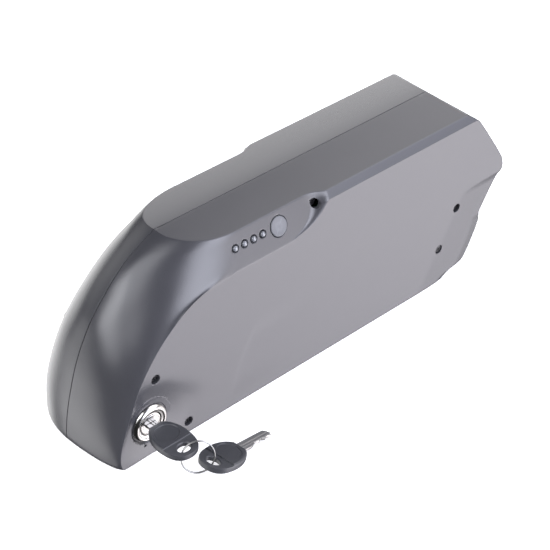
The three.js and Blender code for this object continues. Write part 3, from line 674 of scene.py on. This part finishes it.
def add_world():
    """The soft boxes and the room light, added up for each direction."""
    world = bpy.data.worlds.new("studio")
    bpy.context.scene.world = world
    world.use_nodes = True
    nodes, links = world.node_tree.nodes, world.node_tree.links
    back = nodes["Background"]
    where = nodes.new("ShaderNodeTexCoord")
    total = None
    for towards, full, gone, strength, colour in SOFT_BOXES:
        apart = nodes.new("ShaderNodeVectorMath")
        apart.operation = "DOT_PRODUCT"
        apart.inputs[1].default_value = Vector(towards).normalized()
        links.new(where.outputs["Generated"], apart.inputs[0])
        lit = nodes.new("ShaderNodeMapRange")
        lit.interpolation_type = "SMOOTHSTEP"
        lit.inputs["From Min"].default_value = math.cos(math.radians(gone))
        lit.inputs["From Max"].default_value = math.cos(math.radians(full))
        links.new(apart.outputs["Value"], lit.inputs["Value"])
        shine = nodes.new("ShaderNodeVectorMath")
        shine.operation = "SCALE"
        shine.inputs[0].default_value = [c * strength for c in colour]
        links.new(lit.outputs["Result"], shine.inputs["Scale"])
        add = nodes.new("ShaderNodeVectorMath")
        add.operation = "ADD"
        links.new(shine.outputs["Vector"], add.inputs[0])
        if total is None:
            add.inputs[1].default_value = (ROOM_LIGHT,) * 3
        else:
            links.new(total, add.inputs[1])
        total = add.outputs["Vector"]
    # the camera itself sees plain white paper beyond the floor
    seen = nodes.new("ShaderNodeLightPath")
    pick = nodes.new("ShaderNodeMix")
    pick.data_type = "RGBA"
    pick.inputs["B"].default_value = (1, 1, 1, 1)
    links.new(seen.outputs["Is Camera Ray"], pick.inputs["Factor"])
    links.new(total, pick.inputs["A"])
    links.new(pick.outputs["Result"], back.inputs["Color"])


def add_floor():
    floor = box("floor_plane", (-6000, -6000, -30), (6000, 6000, -0.2))
    paper = bpy.data.materials.new("white_paper")
    paper.use_nodes = True
    skin = paper.node_tree.nodes["Principled BSDF"]
    skin.inputs["Base Color"].default_value = (0.9, 0.9, 0.9, 1)
    skin.inputs["Roughness"].default_value = 0.9
    skin.inputs["Emission Color"].default_value = (1, 1, 1, 1)
    skin.inputs["Emission Strength"].default_value = 0.45
    floor.data.materials.append(paper)
    floor.visible_glossy = False


def add_studio():
    add_world()
    add_floor()
    bpy.context.scene.view_settings.view_transform = "Standard"


# ---------- materials ----------
GRAIN_DEPTH = 0.2  # in mm
BRUSHED = (1, 1, 14)  # stretches a grain into brushing lines


def finish_of(name, colour, roughness, grain, grain_size, mottle, metallic=0.0, wear=0.0,
              coat=0.0, specular=0.5, stretch=(1, 1, 1), cloud_size=22):
    """A moulded, rubber or metal finish: mottled colour, uneven gloss, fine grain, paler worn edges."""
    mat = bpy.data.materials.new(name)
    mat.use_nodes = True
    nodes, links = mat.node_tree.nodes, mat.node_tree.links
    skin = nodes["Principled BSDF"]
    skin.inputs["Metallic"].default_value = metallic
    skin.inputs["Specular IOR Level"].default_value = specular
    skin.inputs["Coat Weight"].default_value = coat
    where = nodes.new("ShaderNodeTexCoord")
    scaled = nodes.new("ShaderNodeMapping")
    scaled.inputs["Scale"].default_value = stretch
    links.new(where.outputs["Object"], scaled.inputs["Vector"])
    cloudy = nodes.new("ShaderNodeTexNoise")
    cloudy.inputs["Scale"].default_value = cloud_size
    cloudy.inputs["Detail"].default_value = 5
    links.new(where.outputs["Object"], cloudy.inputs["Vector"])
    tint = nodes.new("ShaderNodeValToRGB")
    tint.color_ramp.elements[0].position = 0.3
    tint.color_ramp.elements[1].position = 0.7
    tint.color_ramp.elements[0].color = tuple(c * (1 - mottle) for c in colour) + (1,)
    tint.color_ramp.elements[1].color = tuple(min(1, c * (1 + mottle)) for c in colour) + (1,)
    links.new(cloudy.outputs["Fac"], tint.inputs["Fac"])
    body_colour = tint.outputs["Color"]
    if wear:
        edge = nodes.new("ShaderNodeNewGeometry")
        rub = nodes.new("ShaderNodeMapRange")
        rub.inputs["From Min"].default_value = 0.53
        rub.inputs["From Max"].default_value = 0.62
        rub.inputs["To Max"].default_value = wear
        links.new(edge.outputs["Pointiness"], rub.inputs["Value"])
        paler = nodes.new("ShaderNodeMix")
        paler.data_type = "RGBA"
        paler.inputs["B"].default_value = tuple(min(1, c * 1.6 + 0.03) for c in colour) + (1,)
        links.new(rub.outputs["Result"], paler.inputs["Factor"])
        links.new(body_colour, paler.inputs["A"])
        body_colour = paler.outputs["Result"]
    links.new(body_colour, skin.inputs["Base Color"])
    gloss = nodes.new("ShaderNodeMapRange")
    gloss.inputs["To Min"].default_value = roughness * 0.9
    gloss.inputs["To Max"].default_value = min(1.0, roughness * 1.12)
    links.new(cloudy.outputs["Fac"], gloss.inputs["Value"])
    links.new(gloss.outputs["Result"], skin.inputs["Roughness"])
    fine = nodes.new("ShaderNodeTexNoise")
    fine.inputs["Scale"].default_value = grain_size
    fine.inputs["Detail"].default_value = 3
    links.new(scaled.outputs["Vector"], fine.inputs["Vector"])
    bump = nodes.new("ShaderNodeBump")
    bump.inputs["Strength"].default_value = grain
    bump.inputs["Distance"].default_value = GRAIN_DEPTH * MM
    links.new(fine.outputs["Fac"], bump.inputs["Height"])
    links.new(bump.outputs["Normal"], skin.inputs["Normal"])
    return mat


FINISH = {
    "shell_plastic": finish_of("shell_grey", (0.036, 0.036, 0.041), 0.25, 0.2, 1300, 0.04, wear=0.3),
    "seal_rubber": finish_of("seal_rubber", (0.018, 0.018, 0.02), 0.8, 0.3, 700, 0.1, specular=0.3),
    "plate_steel": finish_of("plate_steel", (0.42, 0.43, 0.45), 0.36, 0.25, 300, 0.06, 1.0, wear=0.4,
                             stretch=BRUSHED),
    "screw_black": finish_of("screw_black", (0.008, 0.008, 0.01), 0.45, 0.1, 1500, 0.1, 0.2, wear=0.3),
    "cell_sleeve": finish_of("cell_sleeve", (0.03, 0.19, 0.12), 0.38, 0.06, 500, 0.08, coat=0.2),
    "frame_plastic": finish_of("frame_plastic", (0.02, 0.021, 0.024), 0.6, 0.2, 900, 0.08),
    "circuit_board": finish_of("circuit_board", (0.014, 0.10, 0.045), 0.45, 0.2, 1800, 0.2,
                               cloud_size=300),
    "heat_sink_aluminium": finish_of("heat_sink", (0.55, 0.56, 0.58), 0.38, 0.2, 400, 0.05, 1.0,
                                     stretch=BRUSHED),
    "black_plastic": finish_of("black_plastic", (0.017, 0.017, 0.019), 0.45, 0.15, 1000, 0.1, wear=0.3),
    "bus_nickel": finish_of("bus_nickel", (0.6, 0.58, 0.54), 0.3, 0.12, 500, 0.05, 1.0),
    "lead_red": finish_of("lead_red", (0.33, 0.02, 0.018), 0.5, 0.1, 800, 0.1),
    "lead_black": finish_of("lead_black", (0.015, 0.015, 0.016), 0.5, 0.1, 800, 0.1),
    "contact_brass": finish_of("contact_brass", (0.66, 0.47, 0.18), 0.3, 0.15, 500, 0.08, 1.0,
                               stretch=BRUSHED),
    "light_lens": finish_of("light_lens", (0.12, 0.125, 0.14), 0.14, 0.03, 900, 0.08, coat=0.8),
    "button_plastic": finish_of("button_plastic", (0.085, 0.088, 0.098), 0.38, 0.15, 1400, 0.04,
                                wear=0.3),
    "lock_chrome": finish_of("lock_chrome", (0.60, 0.585, 0.56), 0.2, 0.05, 400, 0.04, 1.0, wear=0.3),
    "lock_alloy": finish_of("lock_alloy", (0.45, 0.45, 0.46), 0.4, 0.25, 500, 0.08, 1.0, wear=0.3),
    "key_grip": finish_of("key_grip", (0.03, 0.031, 0.036), 0.42, 0.25, 1200, 0.06, wear=0.5),
    "key_steel": finish_of("key_steel", (0.40, 0.395, 0.385), 0.3, 0.2, 450, 0.05, 1.0, wear=0.3,
                           stretch=BRUSHED),
}


def place(obj, body, slot, node, angle=32):
    """Gives a piece its shading, finish and body, and hides the CAD node that it stands for."""
    obj.data.materials.clear()
    obj.data.materials.append(FINISH[slot])
    smooth(obj, angle)
    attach(obj, body)
    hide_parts(node)


# ---------- plate, screws and latch ----------
def slide_plate():
    plate = box("slide_plate_fine", (-112, -12, 0), (112, 12, 2))
    slots = [bevelled(box("slot", (x - 15, -5, -3), (x + 15, 5, 5)), 1.2, 4) for x in SLOT_X]
    boolean(plate, slots, "DIFFERENCE")
    return bevelled(plate, 0.35, 2, 50)


def screw(name, x, z, seat, head, tip):
    """A round head with a cross recess, on a plain shank with a pointed tip."""
    base = seat + 0.3
    profile = [(0.9, tip), (1.4, tip + 1.2), (1.4, base), (2.5, base), (2.85, base + 0.35),
               (2.85, head - 0.7), (2.6, head - 0.25), (1.9, head), (0.001, head + 0.05)]
    piece = turned(name, profile, along_y(x, z), 36)
    for turn in (0, 90):
        arm = box("cross", (-1.7, -0.32, head - 1.3), (1.7, 0.32, head + 2))
        arm.data.transform(mm_matrix(along_y(x, z) @ Matrix.Rotation(math.radians(turn + 20), 4, "Z")))
        boolean(piece, [arm], "DIFFERENCE")
    return piece


def latch_bolt():
    bolt = box("latch_bolt_fine", (LOCK_X - 5, -12.5, 1.2), (LOCK_X + 5, -3.5, 17))
    arm = box("arm", (LOCK_X - 5, -12.5, 16), (LOCK_X - 1.5, -8, 29))
    boolean(bolt, [arm], "UNION")
    return bevelled(bolt, 0.6, 3, 50)


# ---------- lights and button ----------
def charge_light(number, x):
    dome = [(0.001, -4.2), (1.8, -4.2), (1.8, 0.0)]
    dome += [(1.8 * math.cos(a), 1.3 * math.sin(a)) for a in [math.radians(d) for d in range(12, 90, 13)]]
    dome.append((0.001, 1.3))
    return turned(f"charge_light_fine_{number}", dome, on_strip(x, LIGHT_DOWN), 32)


def power_button():
    r = BUTTON_R
    cap = [(0.001, -6.4), (2.2, -6.4), (2.2, -4.8), (r, -4.8), (r, 0.1), (r - 0.12, 0.4), (r - 0.4, 0.62),
           (r - 0.8, 0.68), (r - 2.0, 0.58), (r - 4.2, 0.5), (0.001, 0.46)]
    return turned("power_button_fine", cap, on_strip(BUTTON_X, BUTTON_DOWN), 72)


# ---------- lock ----------
def lock_bezel():
    ring = [(8.5, 42.3), (13.4, 42.3), (13.4, 42.7), (13.15, 43.3), (12.7, 44.0), (12.1, 44.6), (11.4, 44.95),
            (10.7, 44.9), (10.2, 44.6), (9.9, 44.15), (9.3, 43.95), (8.8, 43.85), (8.55, 43.5), (8.5, 42.3)]
    return turned("lock_bezel_fine", ring, along_y(LOCK_X, LOCK_Z), 80)


def lock_plug():
    face = 43.8
    plug = [(0.001, 16), (7.9, 16), (7.9, face - 0.5), (7.75, face - 0.15), (7.4, face), (6.9, face),
            (6.7, face - 0.25), (6.4, face - 0.25), (6.2, face), (0.001, face)]
    piece = turned("lock_plug_fine", plug, along_y(LOCK_X, LOCK_Z), 72)
    way = box("keyway", (LOCK_X - 4.3, -50, LOCK_Z - 1.3), (LOCK_X + 4.3, -16.8, LOCK_Z + 1.3))
    return boolean(piece, [bevelled(way, 0.3, 2)], "DIFFERENCE")


# ---------- keys: each lies along +X from the outer end of its head at x = 0 ----------
HEAD_LENGTH, HEAD_HALF, HEAD_THICK = 33.5, 12.0, 5.4
BLADE_GAP, BLADE_LENGTH = 0.3, 30  # the blade starts just beyond the head
LOOP_END = 13.5  # the head is thinner out to here
HOLE_BACK, HOLE_X, HOLE_Y = 7.2, 3.6, 4.9


def bezier(a, b, c, d, steps):
    """Points on a curve from a towards d, without d itself."""
    points = []
    for i in range(steps):
        t = i / steps
        points.append(a * (1 - t) ** 3 + b * 3 * t * (1 - t) ** 2 + c * 3 * t * t * (1 - t) + d * t ** 3)
    return points


def head_outline():
    length, half = HEAD_LENGTH, HEAD_HALF
    corners = [(length, 4.6), (length - 2, 8.5), (length - 8, half), (length / 2, half), (5, half),
               (0, 8), (0, 0)]
    pts = [Vector(p) for p in corners]
    upper = bezier(*pts[0:4], 16) + bezier(*pts[3:7], 20) + [pts[6]]
    lower = [Vector((p.x, -p.y)) for p in reversed(upper[:-1])]
    return upper + lower


def inset_outline(outline, distance):
    """The outline moved in by a distance, square to itself."""
    moved = []
    n = len(outline)
    for i, p in enumerate(outline):
        way = outline[(i + 1) % n] - outline[i - 1]
        inward = Vector((-way.y, way.x)).normalized()
        moved.append(p + inward * distance)
    return moved


def layered(name, outline, layers):
    """A closed solid of stacked outlines: (inset, height) from the bottom up."""
    points, faces = [], []
    n = len(outline)
    for inset, height in layers:
        ring = inset_outline(outline, inset) if inset else outline
        points += [(p.x, p.y, height) for p in ring]
    for k in range(len(layers) - 1):
        for i in range(n):
            j = (i + 1) % n
            faces.append((k * n + i, k * n + j, (k + 1) * n + j, (k + 1) * n + i))
    faces += [tuple(range(n)), tuple((len(layers) - 1) * n + i for i in range(n))]
    return new_object(name, mesh_from(name, points, faces))


def oval(cx, rx, ry, steps=48):
    return [Vector((cx + rx * math.cos(2 * math.pi * i / steps), ry * math.sin(2 * math.pi * i / steps)))
            for i in range(steps)]


def key_head(name):
    half = HEAD_THICK / 2
    rim = [(1.5, -half), (0.7, -half + 0.2), (0.2, -half + 0.7), (0, -half + 1.5)]
    head = layered(name, head_outline(), rim + [(inset, -z) for inset, z in reversed(rim)])
    thin = half * 0.66
    cuts = []
    for side in (-1, 1):
        low, high = sorted((side * thin, side * 10))
        cuts.append(bevelled(box("loop_step", (-12, -20, low), (LOOP_END, 20, high)), 0.5, 3))
        depths = [(0.35, side * (half - 0.45)), (0, side * (half - 0.1)), (0, side * (half + 3))]
        cuts.append(layered("panel", oval(22.6, 7.6, 8.6), depths))
    loop = oval(HOLE_BACK, HOLE_X, HOLE_Y)
    flare = [(-0.6, -4), (-0.6, -thin), (0, -thin + 0.6), (0, thin - 0.6), (-0.6, thin), (-0.6, 4)]
    hole = layered("hole", loop, flare)
    return boolean(head, cuts + [hole], "DIFFERENCE")


def key_blade(name):
    start, half = HEAD_LENGTH + BLADE_GAP, 3.9
    bites = [(9, 0), (12, 1.1), (15, 2.4), (18, 1.2), (21, 2.6), (24, 0.9), (26.5, 2.2), (30, 0.8)]
    outline = [Vector((start, -half))] + [Vector((start + x - 2, -half + cut)) for x, cut in bites]
    outline += [Vector((start + BLADE_LENGTH, 0)), Vector((start + 27, half)), Vector((start, half))]
    blade = layered(name, outline, [(0, -0.95), (0, 0.95)])
    bevelled(blade, 0.22, 2, 25)
    front, end = start - 1, start + BLADE_LENGTH + 1
    grooves = [box("groove", (front, -0.2, low), (end, 1.1, high)) for low, high in ((0.45, 3), (-3, -0.45))]
    grooves.append(box("groove", (front, -1.9, 0.6), (end, -1.2, 3)))
    return boolean(blade, grooves, "DIFFERENCE")


# ---------- where the keys and the ring hang ----------
KEY_ONE_OUT = -81.1  # y of the outer end of the key in the lock
KEY_ONE = Matrix.Translation((LOCK_X, KEY_ONE_OUT, LOCK_Z)) @ Matrix.Rotation(math.radians(90), 4, "Z")
RING_R, RING_RISE, WIRE_R = 10.5, 6.3, 0.48
HOLE_TWO_ANGLE = math.radians(-30)  # where on the ring key 2 hangs
KEY_TWO_YAW = math.radians(6.5)
KEY_TWO_TIP_Z = 1.35  # height of the blade's tip, near the ground
ring_normal = Vector((-0.483, -0.819, 0.311)).normalized()
ring_across = Vector((-ring_normal.y, ring_normal.x, 0)).normalized()
ring_up = ring_normal.cross(ring_across).normalized()
if ring_up.z < 0:
    ring_up.negate()
hole_one = Vector((LOCK_X, KEY_ONE_OUT + HOLE_BACK, LOCK_Z))
ring_centre = hole_one + ring_across * math.sqrt(RING_R ** 2 - RING_RISE ** 2) - ring_up * RING_RISE
towards_two = ring_across * math.cos(HOLE_TWO_ANGLE) + ring_up * math.sin(HOLE_TWO_ANGLE)
hole_two = ring_centre + RING_R * towards_two
KEY_TWO_REACH = HEAD_LENGTH + BLADE_GAP + BLADE_LENGTH - HOLE_BACK
KEY_TWO_PITCH = math.asin((hole_two.z - KEY_TWO_TIP_Z) / KEY_TWO_REACH)
KEY_TWO = (Matrix.Translation(hole_two) @ Matrix.Rotation(KEY_TWO_YAW, 4, "Z")
           @ Matrix.Rotation(KEY_TWO_PITCH, 4, "Y") @ Matrix.Translation((-HOLE_BACK, 0, 0)))


def split_ring():
    """Two close turns of wire."""
    turns, steps, sides, pitch = 2, 120, 12, 0.9
    points, faces = [], []
    axis = ring_across.cross(ring_up)
    for i in range(steps + 1):
        a = 2 * math.pi * turns * i / steps
        out = ring_across * math.cos(a) + ring_up * math.sin(a)
        centre = ring_centre + out * RING_R + axis * pitch * (i / steps - 0.5)
        for k in range(sides):
            b = 2 * math.pi * k / sides
            points.append(centre + (out * math.cos(b) + axis * math.sin(b)) * WIRE_R)
    for i in range(steps):
        for k in range(sides):
            j = (k + 1) % sides
            faces.append((i * sides + k, i * sides + j, (i + 1) * sides + j, (i + 1) * sides + k))
    faces += [tuple(range(sides)), tuple(steps * sides + k for k in range(sides))]
    return new_object("split_ring_fine", mesh_from("split_ring_fine", points, faces))


# ---------- sockets ----------
def discharge_socket():
    low, high = SOCKET_LOW, SOCKET_HIGH
    housing = bevelled(box("discharge_socket_fine", low, high), 0.8, 3)
    well = box("well", (low[0] + 4, low[1] + 2, low[2] + 2), (high[0] + 5, high[1] - 2, high[2] - 2))
    slots = [box("slot", (low[0] - 2, y - 0.9, 18.4), (low[0] + 6, y + 0.9, 27.6)) for y in CONTACT_Y]
    return boolean(housing, [bevelled(well, 1.0, 3)] + slots, "DIFFERENCE")


def contact_blade(number, y):
    name, back = f"contact_blade_fine_{number}", SOCKET_LOW[0]
    return bevelled(box(name, (back + 0.5, y - 0.6, 18.7), (back + 9, y + 0.6, 27.3)), 0.35, 3)


def charge_socket():
    face, r = side_half(CHARGE_Z) - 1.5, CHARGE_R
    profile = [(1.3, 30), (r, 30), (r, face - 0.4), (r - 0.3, face), (r - 1.4, face), (r - 1.8, face - 0.5),
               (r - 1.8, 34), (1.3, 34), (1.3, 30)]
    return turned("charge_socket_fine", profile, along_far_y(CHARGE_X, CHARGE_Z), 48)


def charge_pin():
    profile = [(0.001, 29.5), (1, 29.5), (1, 35.8), (0.8, 36.3), (0.4, 36.5), (0.001, 36.5)]
    return turned("charge_pin_fine", profile, along_far_y(CHARGE_X, CHARGE_Z), 24)


def charge_cap():
    face, r = side_half(CHARGE_Z), CHARGE_R + 2.6
    low, high = face + 0.9, face + 3.1
    profile = [(0.001, low), (r - 0.3, low), (r, low + 0.3), (r, high - 0.8), (r - 0.3, high - 0.25),
               (r - 0.9, high), (r - 2.4, high), (r - 2.8, high - 0.35), (0.001, high - 0.35)]
    cap = turned("charge_cap_fine", profile, along_far_y(CHARGE_X, CHARGE_Z), 64)
    z = CHARGE_Z + CHARGE_R
    tab = bevelled(box("tab", (CHARGE_X - 4, low, z), (CHARGE_X + 4, high - 0.1, z + 6)), 0.5, 3)
    boolean(cap, [tab], "UNION")
    lip = bevelled(box("lip", (CHARGE_X - 3, high - 0.6, z - 17.2), (CHARGE_X + 3, high, z - 15.6)), 0.25, 2)
    return boolean(cap, [lip], "UNION")


# ---------- cells ----------
def cell_group(number):
    """Five sleeved cells side by side, joined by a nickel strip at each end."""
    x = CELL_X + PITCH_X * (number - 1)
    r, end = CELL_R, CELL_HALF
    profile = [(0.001, -end), (r - 1.0, -end), (r - 0.25, -end + 0.3), (r, -end + 1.0), (r, end - 4.6),
               (r - 0.7, end - 4.0), (r - 0.7, end - 3.4), (r, end - 2.8), (r, end - 0.9),
               (r - 0.4, end - 0.2), (r - 1.4, end), (0.001, end)]
    cells = [turned("cell", profile, along_y(x, CELL_Z + PITCH_Z * k), 28) for k in range(GROUP_CELLS)]
    group = cells[0]
    for y in (-end, end):
        low, high = (y - 0.4, y + 0.2) if y < 0 else (y - 0.2, y + 0.4)
        top = CELL_Z + (GROUP_CELLS - 1) * PITCH_Z + 5
        cells.append(box("strip", (x - 3, low, CELL_Z - 5), (x + 3, high, top)))
    group.name = f"cell_group_fine_{number:02d}"
    return boolean(group, cells[1:], "UNION")


# ---------- assembly ----------
def assemble():
    place(near_shell(), "shell", "shell_plastic", "near_shell")
    place(far_shell(), "shell", "shell_plastic", "far_shell")
    place(slide_plate(), "shell", "plate_steel", "slide_plate")
    for i, (x, z, seat) in enumerate(SHELL_SCREWS, 1):
        piece = screw(f"shell_screw_fine_{i}", x, z, seat, seat + 2.5, -22)
        place(piece, "shell", "screw_black", f"shell_screw_{i}")
    for i, (x, z, seat) in enumerate(FRAME_SCREWS, 1):
        piece = screw(f"frame_screw_fine_{i}", x, z, seat, 42.7, 34.4)
        place(piece, "shell", "screw_black", f"frame_screw_{i}")
    for i, x in enumerate(LIGHT_X, 1):
        place(charge_light(i, x), "shell", "light_lens", f"charge_light_{i}")
    place(power_button(), "button", "button_plastic", "power_button")
    place(lock_bezel(), "shell", "lock_chrome", "lock_bezel")
    place(lock_plug(), "lock_cylinder", "lock_chrome", "lock_plug")
    place(latch_bolt(), "latch", "lock_alloy", "latch_bolt")
    for number, where in ((1, KEY_ONE), (2, KEY_TWO)):
        body = f"key_{number}"
        head, blade = key_head(f"{body}_head_fine"), key_blade(f"{body}_blade_fine")
        for piece, slot, node in ((head, "key_grip", f"{body}_head"), (blade, "key_steel", f"{body}_blade")):
            piece.data.transform(mm_matrix(where))
            place(piece, body, slot, node)
    place(split_ring(), "key_ring", "key_steel", "split_ring", angle=60)
    place(discharge_socket(), "shell", "black_plastic", "discharge_socket")
    for i, y in enumerate(CONTACT_Y, 1):
        place(contact_blade(i, y), "shell", "contact_brass", f"contact_blade_{i}")
    place(charge_socket(), "shell", "black_plastic", "charge_socket")
    place(charge_pin(), "shell", "contact_brass", "charge_pin")
    place(charge_cap(), "socket_cap", "seal_rubber", "charge_cap")
    for number in range(1, CELL_GROUPS + 1):
        place(cell_group(number), "shell", "cell_sleeve", f"cell_group_{number:02d}")


# CAD nodes that keep their shape, by their finish
KEPT = {
    "seal_rubber": ["perimeter_seal"],
    "frame_plastic": ["cell_frame_near", "cell_frame_far"],
    "circuit_board": ["bms_board", "indicator_board"],
    "heat_sink_aluminium": ["bms_heat_sink"],
    "black_plastic": ["main_fuse", "button_switch"],
    "bus_nickel": ["positive_busbar", "negative_busbar"],
    "lead_red": ["discharge_lead_positive"],
    "lead_black": ["discharge_lead_negative", "charge_lead"],
    "lock_alloy": ["lock_body", "lock_cam"],
}


def finish_kept_nodes():
    for slot, names in KEPT.items():
        for obj in (bpy.data.objects[name] for name in names):
            if not obj.material_slots:
                obj.data.materials.append(FINISH[slot])
            for holder in obj.material_slots:
                holder.material = FINISH[slot]


add_camera()
add_studio()
assemble()
finish_kept_nodes()
